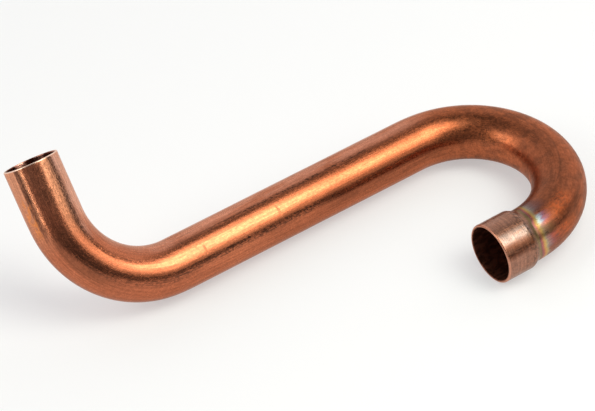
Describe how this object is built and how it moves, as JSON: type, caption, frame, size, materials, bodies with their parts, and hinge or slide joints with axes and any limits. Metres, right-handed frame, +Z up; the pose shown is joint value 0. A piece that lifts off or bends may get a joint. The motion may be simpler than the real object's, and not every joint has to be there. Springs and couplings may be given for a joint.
{
  "type": "bent copper boiler water tube",
  "caption": "Bent copper water tube with a plain spigot end on a quarter bend, a straight run, a return bend and an expanded solder socket.",
  "frame": {"origin": "middle of the socket's mouth, on the socket's axis", "axes": "+X runs along the straight run, from the elbow bend to the return bend; -X points out of the socket; the return bend lies flat in the XY plane with the run on its +Y side; +Z is up"},
  "size_m": [0.209, 0.1289, 0.0681],
  "materials": {
    "copper": "drawn and lightly polished copper with fine lengthwise lines",
    "annealed_copper": "bent copper, satin, slightly browner and mottled",
    "tinted_copper": "heat-tinted copper with bands of gold, pale blue, purple and orange"
  },
  "bodies": {
    "root": {"spigot_end": "copper", "elbow_bend": "annealed_copper", "straight_run": "copper", "return_bend": "annealed_copper", "socket_flare": "tinted_copper", "socket_cup": "copper"}
  },
  "joints": []
}
